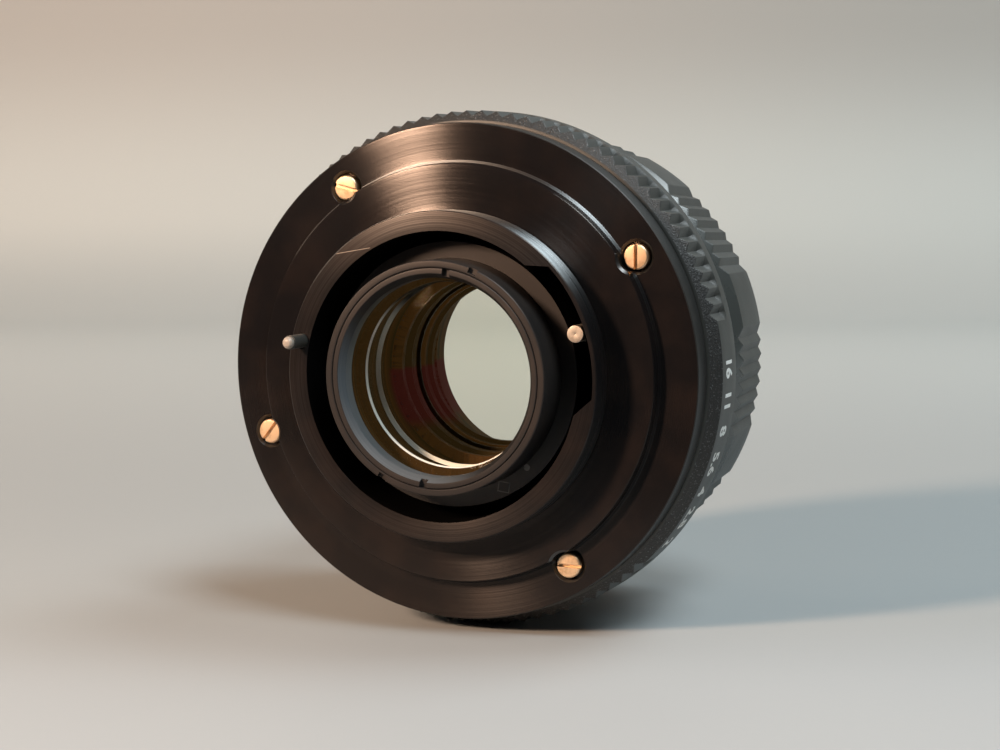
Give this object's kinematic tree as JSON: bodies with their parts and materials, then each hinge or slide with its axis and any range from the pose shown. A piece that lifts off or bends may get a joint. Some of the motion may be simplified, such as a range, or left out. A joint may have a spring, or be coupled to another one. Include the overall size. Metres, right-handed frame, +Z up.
{
  "type": "photographic lens",
  "caption": "Black round lens with a rear mount collar, a fluted stop ring, a ribbed focus ring, a sliding optical block and an iris worked by a pin.",
  "frame": {"origin": "on the optical axis, in the rear face of the mount plate's outer flange", "axes": "+Y along the optical axis towards the front glass, so the mount faces -Y; +Z up as the lens lies on its side; +X to the right when the mount is looked at"},
  "size_m": [0.0632, 0.047, 0.0632],
  "materials": {
    "black_anodised_aluminium": "satin black anodised",
    "bare_aluminium": "turned",
    "brass": "turned",
    "bright_steel": "polished",
    "blued_steel": "blued",
    "coated_glass": "coated optical glass"
  },
  "bodies": {
    "barrel": {"mount_plate": "black_anodised_aluminium", "mount_screws": "brass", "main_barrel": "black_anodised_aluminium", "index_ring": "black_anodised_aluminium", "index_ring_screws": "bright_steel", "focus_retaining_ring": "bare_aluminium", "guide_keys": "brass", "guide_key_screws": "bright_steel", "click_ball": "bright_steel", "click_spring": "bright_steel", "stop_pin_spring": "bright_steel"},
    "aperture": {"aperture_ring": "black_anodised_aluminium", "coupling_ring": "bare_aluminium", "coupling_pin": "bright_steel"},
    "focus": {"focus_grip": "black_anodised_aluminium", "helicoid_sleeve": "bare_aluminium", "focus_ring_screws": "bright_steel"},
    "lens_block": {"lens_barrel": "black_anodised_aluminium", "rear_cell": "black_anodised_aluminium", "rear_retaining_ring": "black_anodised_aluminium", "rear_element": "coated_glass", "rear_spacer": "bare_aluminium", "fifth_element": "coated_glass", "fourth_element": "coated_glass", "iris_housing": "black_anodised_aluminium", "iris_retainer": "bare_aluminium", "front_cell": "black_anodised_aluminium", "third_element": "coated_glass", "second_element": "coated_glass", "front_element": "coated_glass", "front_spacer": "bare_aluminium", "front_retaining_ring": "black_anodised_aluminium", "front_bezel": "black_anodised_aluminium", "front_cone_ring": "black_anodised_aluminium"},
    "stop_pin": {"stop_pin": "bright_steel"},
    "actuator": {"actuator_ring": "bare_aluminium"},
    "iris_ring": {"iris_drive_ring": "bare_aluminium"},
    "iris_blade_1": {"iris_blade_1": "blued_steel"},
    "iris_blade_2": {"iris_blade_2": "blued_steel"},
    "iris_blade_3": {"iris_blade_3": "blued_steel"},
    "iris_blade_4": {"iris_blade_4": "blued_steel"},
    "iris_blade_5": {"iris_blade_5": "blued_steel"},
    "iris_blade_6": {"iris_blade_6": "blued_steel"}
  },
  "joints": [
    {"name": "aperture_ring_turn", "type": "hinge", "parent": "barrel", "child": "aperture", "pos_m": [0, 0.0067, 0], "axis": [0, -1, 0], "range_deg": [-21, 21]},
    {"name": "focus_turn", "type": "hinge", "parent": "barrel", "child": "focus", "pos_m": [0, 0.0254, 0], "axis": [0, -1, 0], "range_deg": [0, 210]},
    {"name": "lens_block_slide", "type": "slide", "parent": "barrel", "child": "lens_block", "axis": [0, 1, 0], "range_m": [0, 0.00735]},
    {"name": "actuator_turn", "type": "hinge", "parent": "barrel", "child": "actuator", "pos_m": [0, 0.0058, 0], "axis": [0, -1, 0], "range_deg": [0, 24], "stiffness_Nm_per_rad": 0.002, "springref_deg": -20.05},
    {"name": "stop_pin_press", "type": "slide", "parent": "barrel", "child": "stop_pin", "axis": [0, 1, 0], "range_m": [0, 0.0025], "deforming": ["stop_pin_spring"]},
    {"name": "iris_ring_turn", "type": "hinge", "parent": "lens_block", "child": "iris_ring", "pos_m": [0, 0.0121, 0], "axis": [0, -1, 0], "range_deg": [0, 24]},
    {"name": "iris_blade_1_turn", "type": "hinge", "parent": "lens_block", "child": "iris_blade_1", "pos_m": [0.017, 0.0134, 0], "axis": [0, -1, 0], "range_deg": [0, 23.77]},
    {"name": "iris_blade_2_turn", "type": "hinge", "parent": "lens_block", "child": "iris_blade_2", "pos_m": [0.0085, 0.0134, 0.01472], "axis": [0, -1, 0], "range_deg": [0, 23.77]},
    {"name": "iris_blade_3_turn", "type": "hinge", "parent": "lens_block", "child": "iris_blade_3", "pos_m": [-0.0085, 0.0134, 0.01472], "axis": [0, -1, 0], "range_deg": [0, 23.77]},
    {"name": "iris_blade_4_turn", "type": "hinge", "parent": "lens_block", "child": "iris_blade_4", "pos_m": [-0.017, 0.0134, 0], "axis": [0, -1, 0], "range_deg": [0, 23.77]},
    {"name": "iris_blade_5_turn", "type": "hinge", "parent": "lens_block", "child": "iris_blade_5", "pos_m": [-0.0085, 0.0134, -0.01472], "axis": [0, -1, 0], "range_deg": [0, 23.77]},
    {"name": "iris_blade_6_turn", "type": "hinge", "parent": "lens_block", "child": "iris_blade_6", "pos_m": [0.0085, 0.0134, -0.01472], "axis": [0, -1, 0], "range_deg": [0, 23.77]}
  ],
  "couplings": [
    {"joint": "lens_block_slide", "follows": "focus_turn", "m_per_rad": 0.0020053},
    {"joint": "stop_pin_press", "follows": "actuator_turn", "m_per_rad": 0.0059683},
    {"joint": "iris_ring_turn", "follows": "actuator_turn", "ratio": 1},
    {"joint": "iris_blade_1_turn", "follows": "actuator_turn", "ratio": 0.9901},
    {"joint": "iris_blade_2_turn", "follows": "actuator_turn", "ratio": 0.9901},
    {"joint": "iris_blade_3_turn", "follows": "actuator_turn", "ratio": 0.9901},
    {"joint": "iris_blade_4_turn", "follows": "actuator_turn", "ratio": 0.9901},
    {"joint": "iris_blade_5_turn", "follows": "actuator_turn", "ratio": 0.9901},
    {"joint": "iris_blade_6_turn", "follows": "actuator_turn", "ratio": 0.9901}
  ]
}
